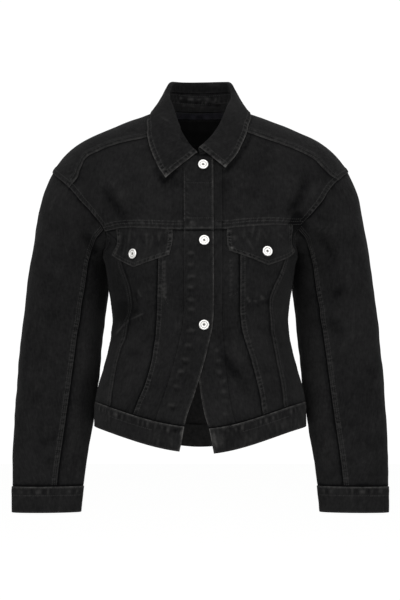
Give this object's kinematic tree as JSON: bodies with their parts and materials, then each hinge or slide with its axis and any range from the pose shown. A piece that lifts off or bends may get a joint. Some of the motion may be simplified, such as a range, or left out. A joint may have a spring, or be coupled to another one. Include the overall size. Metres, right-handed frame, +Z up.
{
  "type": "denim jacket",
  "caption": "Cropped, fitted denim jacket filled out as worn, with a pointed collar, chest flaps, button front, shaped waistband and full sleeves with cuffs.",
  "frame": {"origin": "between the shoulders at the height of the neck seam, where the wearer carries the jacket", "axes": "+Z up, -Y the way the jacket faces, +X towards the wearer's left"},
  "size_m": [0.6042, 0.2531, 0.6938],
  "materials": {
    "denim": "washed black denim, matt, a little lighter at the seams",
    "pocket_cloth": "matt black pocketing",
    "tape": "blue-black woven tape",
    "label": "black satin, plain",
    "button_metal": "bright silver, softly polished"
  },
  "bodies": {
    "root": {"back_yoke": "denim", "back_centre": "denim", "back_waistband": "denim", "collar_stand": "denim", "collar_leaf": "denim", "right_front_yoke": "denim", "right_front_centre": "denim", "right_front_middle": "denim", "right_front_side": "denim", "right_back_side": "denim", "right_placket": "denim", "right_waistband": "denim", "right_flap": "denim", "right_upper_sleeve": "denim", "right_under_sleeve": "denim", "right_cuff": "denim", "left_front_yoke": "denim", "left_front_centre": "denim", "left_front_middle": "denim", "left_front_side": "denim", "left_back_side": "denim", "left_placket": "denim", "left_waistband": "denim", "left_flap": "denim", "left_upper_sleeve": "denim", "left_under_sleeve": "denim", "left_cuff": "denim", "right_pocket_bag": "pocket_cloth", "left_pocket_bag": "pocket_cloth", "neck_tape": "tape", "neck_label": "label", "front_button_1": "button_metal", "front_button_2": "button_metal", "front_button_3": "button_metal", "right_flap_button": "button_metal", "left_flap_button": "button_metal"}
  },
  "joints": []
}
